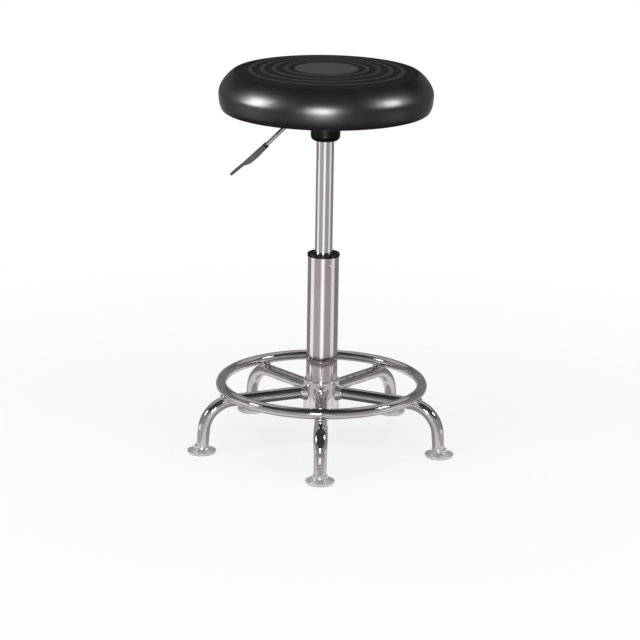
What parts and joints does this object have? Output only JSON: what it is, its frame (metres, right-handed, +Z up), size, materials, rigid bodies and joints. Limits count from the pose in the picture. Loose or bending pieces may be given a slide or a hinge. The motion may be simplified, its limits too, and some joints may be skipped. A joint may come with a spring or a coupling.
{
  "type": "gas-lift stool",
  "caption": "Round gas-lift stool: black moulded seat with ring grooves on a chromed column with a hand lever, bent-tube legs with flared feet and a footrest ring.",
  "frame": {"origin": "on the floor, on the column's axis", "axes": "+Z up along the column; -Y along the front leg, towards the viewer; -X to the lever's side"},
  "size_m": [0.4082, 0.3904, 0.59],
  "materials": {
    "seat_skin": "satin",
    "chrome_base": "polished",
    "chrome_column": "polished",
    "chrome_cylinder": "polished",
    "black_plastic": "satin",
    "grey_plastic": "satin",
    "pale_nylon": "satin",
    "natural_nylon": "satin",
    "black_paint": "satin",
    "bare_steel": "satin",
    "bearing_steel": "polished",
    "zinc_steel": "satin",
    "turned_aluminium": "satin",
    "black_rubber": "matte",
    "plywood": "matte"
  },
  "bodies": {
    "base": {"hub": "chrome_base", "footrest_ring": "chrome_base", "column_tube": "chrome_column", "guide_bush": "black_plastic", "column_floor": "bare_steel", "lower_race": "bearing_steel", "leg_front": "chrome_base", "leg_right_front": "chrome_base", "leg_right_back": "chrome_base", "leg_left_back": "chrome_base", "leg_left_front": "chrome_base", "foot_cup_front": "chrome_base", "foot_cup_right_front": "chrome_base", "foot_cup_right_back": "chrome_base", "foot_cup_left_back": "chrome_base", "foot_cup_left_front": "chrome_base", "foot_pad_front": "pale_nylon", "foot_pad_right_front": "pale_nylon", "foot_pad_right_back": "pale_nylon", "foot_pad_left_back": "pale_nylon", "foot_pad_left_front": "pale_nylon"},
    "ball_cage": {"bearing_balls": "bearing_steel", "bearing_cage": "natural_nylon"},
    "rod": {"upper_race": "bearing_steel", "bump_damper": "black_rubber", "retaining_clip": "bearing_steel", "piston_rod": "chrome_cylinder", "piston": "turned_aluminium", "piston_ring": "natural_nylon"},
    "seat": {"gas_cylinder": "chrome_cylinder", "rod_guide": "turned_aluminium", "rod_seal": "black_rubber", "inner_tube": "bare_steel", "valve_body": "turned_aluminium", "taper_socket": "black_paint", "socket_cover": "black_plastic", "seat_plate": "black_paint", "lever_bracket": "black_paint", "lever_pivot_pin": "zinc_steel", "seat_board": "plywood", "tee_nuts": "zinc_steel", "seat_washers": "zinc_steel", "seat_bolts": "zinc_steel", "seat_cushion": "seat_skin"},
    "lever": {"lever_rod": "chrome_cylinder", "lever_neck_ring": "black_plastic", "lever_handle": "grey_plastic"},
    "release_pin": {"release_pin": "bearing_steel"}
  },
  "joints": [
    {"name": "seat_swivel", "type": "hinge", "parent": "base", "child": "rod", "pos_m": [0, 0, 0], "axis": [0, 0, 1], "continuous": true},
    {"name": "cage_roll", "type": "hinge", "parent": "base", "child": "ball_cage", "pos_m": [0, 0, 0], "axis": [0, 0, 1], "continuous": true},
    {"name": "seat_lift", "type": "slide", "parent": "rod", "child": "seat", "axis": [0, 0, 1], "range_m": [-0.11, 0], "stiffness_N_per_m": 400, "springref_m": 0.75},
    {"name": "lever_lift", "type": "hinge", "parent": "seat", "child": "lever", "pos_m": [-0.02387, 0.00251, 0.516], "axis": [0.1045, 0.9945, 0], "range_deg": [0, 8], "stiffness_Nm_per_rad": 8, "springref_deg": -8.02},
    {"name": "pin_press", "type": "slide", "parent": "seat", "child": "release_pin", "axis": [0, 0, 1], "range_m": [-0.0036, 0]}
  ],
  "couplings": [
    {"joint": "cage_roll", "follows": "seat_swivel", "ratio": 0.5},
    {"joint": "pin_press", "follows": "lever_lift", "m_per_rad": -0.0245}
  ]
}
